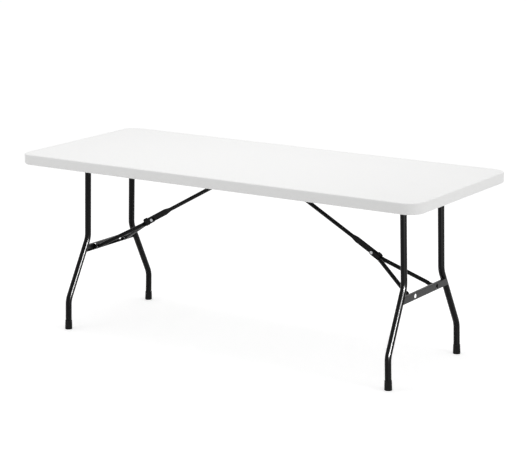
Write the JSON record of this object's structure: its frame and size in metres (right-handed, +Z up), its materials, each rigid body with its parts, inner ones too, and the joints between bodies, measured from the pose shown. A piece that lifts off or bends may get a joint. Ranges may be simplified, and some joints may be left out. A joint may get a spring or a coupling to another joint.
{
  "type": "folding banquet table",
  "caption": "Long folding table: a moulded top with a deep rim on two bent-tube leg frames that fold flat under it, each held open by a jointed brace.",
  "frame": {"origin": "middle of the floor under the table, with the table standing open", "axes": "+X along the table, +Y across it to the rear edge, +Z up"},
  "size_m": [1.83, 0.76, 0.74],
  "materials": {
    "panel": "satin, fine moulded grain",
    "frame": "gloss powder coat",
    "caps": "matte",
    "zinc": "zinc plated"
  },
  "bodies": {
    "table_body": {"top_panel": "panel", "front_rail": "frame", "rear_rail": "frame", "rail_screws": "zinc", "centre_bracket": "frame", "bracket_screws": "zinc", "hinge_pins": "zinc"},
    "left_leg_frame": {"left_pivot_tube": "frame", "left_pivot_stubs": "zinc", "left_front_leg": "frame", "left_rear_leg": "frame", "left_front_foot": "caps", "left_rear_foot": "caps", "left_crossbar": "frame", "left_fork_lugs": "frame", "left_fork_pins": "zinc"},
    "left_brace_strut": {"left_strut": "frame"},
    "left_brace_fork": {"left_fork_front_arm": "frame", "left_fork_rear_arm": "frame", "left_elbow_rivets": "zinc"},
    "left_ring": {"left_lock_ring": "frame"},
    "right_leg_frame": {"right_pivot_tube": "frame", "right_pivot_stubs": "zinc", "right_front_leg": "frame", "right_rear_leg": "frame", "right_front_foot": "caps", "right_rear_foot": "caps", "right_crossbar": "frame", "right_fork_lugs": "frame", "right_fork_pins": "zinc"},
    "right_brace_strut": {"right_strut": "frame"},
    "right_brace_fork": {"right_fork_front_arm": "frame", "right_fork_rear_arm": "frame", "right_elbow_rivets": "zinc"},
    "right_ring": {"right_lock_ring": "frame"}
  },
  "joints": [
    {"name": "left_leg_fold", "type": "hinge", "parent": "table_body", "child": "left_leg_frame", "pos_m": [-0.7372, 0, 0.7065], "axis": [0, -1, 0], "range_deg": [0, 91.66]},
    {"name": "right_leg_fold", "type": "hinge", "parent": "table_body", "child": "right_leg_frame", "pos_m": [0.7372, 0, 0.7065], "axis": [0, 1, 0], "range_deg": [0, 91.66]},
    {"name": "left_ring_slide", "type": "slide", "parent": "left_brace_strut", "child": "left_ring", "axis": [0.8738, 0, 0.4863], "range_m": [0, 0.065]},
    {"name": "right_ring_slide", "type": "slide", "parent": "right_brace_strut", "child": "right_ring", "axis": [-0.8738, 0, 0.4863], "range_m": [0, 0.065]},
    {"name": "left_strut_swing", "type": "hinge", "parent": "table_body", "child": "left_brace_strut", "pos_m": [-0.0388, 0, 0.7135], "axis": [0, -1, 0], "range_deg": [-29.52, 0]},
    {"name": "right_strut_swing", "type": "hinge", "parent": "table_body", "child": "right_brace_strut", "pos_m": [0.0388, 0, 0.7135], "axis": [0, 1, 0], "range_deg": [-29.52, 0]},
    {"name": "left_fork_swing", "type": "hinge", "parent": "left_leg_frame", "child": "left_brace_fork", "pos_m": [-0.74152, 0, 0.3158], "axis": [0, -1, 0], "range_deg": [0, 58.84]},
    {"name": "right_fork_swing", "type": "hinge", "parent": "right_leg_frame", "child": "right_brace_fork", "pos_m": [0.74152, 0, 0.3158], "axis": [0, 1, 0], "range_deg": [0, 58.84]}
  ],
  "couplings": [
    {"joint": "left_strut_swing", "follows": "left_leg_fold", "ratio": -0.32192},
    {"joint": "left_fork_swing", "follows": "left_leg_fold", "ratio": 0.64185},
    {"joint": "right_strut_swing", "follows": "right_leg_fold", "ratio": -0.32192},
    {"joint": "right_fork_swing", "follows": "right_leg_fold", "ratio": 0.64185}
  ]
}
